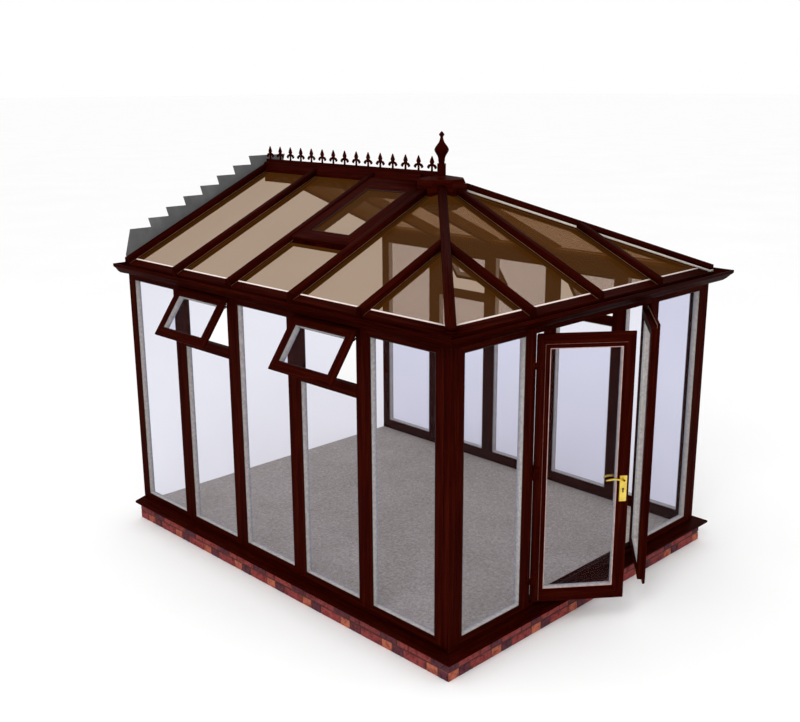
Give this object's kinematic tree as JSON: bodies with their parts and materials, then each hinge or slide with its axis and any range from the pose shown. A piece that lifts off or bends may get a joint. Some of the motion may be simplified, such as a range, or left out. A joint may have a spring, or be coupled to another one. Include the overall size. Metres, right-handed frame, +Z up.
{
  "type": "edwardian conservatory",
  "caption": "Hipped, glazed garden room on a low brick base with double doors at the front, opening top vents, a crested ridge and an open back that joins a house wall.",
  "frame": {"origin": "middle of the rectangle of the wall frames, level with the foot of the brickwork", "axes": "+X to the right seen from the garden in front of the doors, +Y from the doors towards the house, +Z up"},
  "size_m": [3.6982, 4.3574, 3.5576],
  "materials": {
    "wood": "dark rosewood woodgrain foil, satin",
    "glass": "clear sealed units with a grey spacer at the edge",
    "roof_glass": "bronze tinted roof panels",
    "brick": "red brick with pale mortar",
    "floor": "speckled grey floor",
    "gold": "polished gold",
    "steel": "satin",
    "hinge": "dark brown",
    "lead": "dull grey sheet lead"
  },
  "bodies": {
    "frame": {"brick_plinth": "brick", "floor_slab": "floor", "side_sills": "wood", "front_sill": "wood", "posts": "wood", "fixed_windows": "wood", "vent_windows": "wood", "wall_glass": "glass", "side_panels": "wood", "side_panel_glass": "glass", "vent_sashes": "wood", "vent_glass": "glass", "vent_stays": "steel", "vent_handles": "gold", "door_jambs": "wood", "door_head": "wood", "door_threshold": "wood", "hinge_pins": "hinge", "side_eaves": "wood", "front_eaves": "wood", "side_gutters": "wood", "front_gutter": "wood", "rafters": "wood", "hip_rafters": "wood", "side_roof_panels": "roof_glass", "front_roof_panels": "roof_glass", "roof_vent_frame": "wood", "roof_vent_lid": "wood", "roof_vent_glass": "roof_glass", "ridge_beam": "wood", "ridge_cap": "wood", "ridge_hub": "wood", "ridge_boss": "wood", "end_cap": "wood", "cresting": "wood", "finial": "wood", "lead_flashing": "lead"},
    "door_left": {"door_leaf_left": "wood", "door_glass_left": "glass", "hinge_flags_left": "hinge", "door_backplates": "gold"},
    "door_right": {"door_leaf_right": "wood", "door_glass_right": "glass", "hinge_flags_right": "hinge"},
    "door_lever": {"door_lever": "gold"}
  },
  "joints": [
    {"name": "door_left_hinge", "type": "hinge", "parent": "frame", "child": "door_left", "pos_m": [-0.7075, -1.9575, 1.26], "axis": [0, 0, -1], "range_deg": [-38, 52]},
    {"name": "door_right_hinge", "type": "hinge", "parent": "frame", "child": "door_right", "pos_m": [0.7075, -1.9575, 1.26], "axis": [0, 0, 1], "range_deg": [-38, 52]},
    {"name": "door_lever_turn", "type": "hinge", "parent": "door_left", "child": "door_lever", "pos_m": [-0.18938, -2.3623, 1.17], "axis": [-0.6157, -0.788, 0], "range_deg": [0, 40], "stiffness_Nm_per_rad": 1.2, "springref_deg": -20.05}
  ]
}
